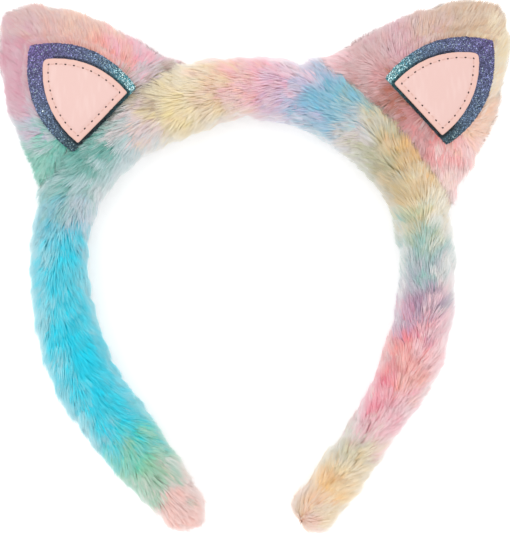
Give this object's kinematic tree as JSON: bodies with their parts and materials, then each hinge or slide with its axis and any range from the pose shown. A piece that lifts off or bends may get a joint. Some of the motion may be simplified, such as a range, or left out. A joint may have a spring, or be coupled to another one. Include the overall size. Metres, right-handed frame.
{
  "type": "cat ears headband",
  "caption": "Plush fur headband with two padded cat ears, each with a glitter patch and a stitched leatherette inner panel. It is worn over the crown of the head.",
  "frame": {"origin": "middle of the footprint, on the surface that the headband's back lies on", "axes": "+Z out of the front, where the patches are; +Y from the band's tips towards the ears; +X to the right as seen from the front"},
  "size_m": [0.2032, 0.2114, 0.0306],
  "materials": {
    "band_fur": "dyed plush faux fur",
    "ear_left_fur": "dyed plush faux fur",
    "ear_right_fur": "dyed plush faux fur",
    "glitter_film": "glitter-coated film",
    "pink_leatherette": "matte soft leatherette"
  },
  "bodies": {
    "root": {"band": "band_fur", "ear_left": "ear_left_fur", "ear_right": "ear_right_fur", "glitter_patch_left": "glitter_film", "glitter_patch_right": "glitter_film", "inner_panel_left": "pink_leatherette", "inner_panel_right": "pink_leatherette"}
  },
  "joints": []
}
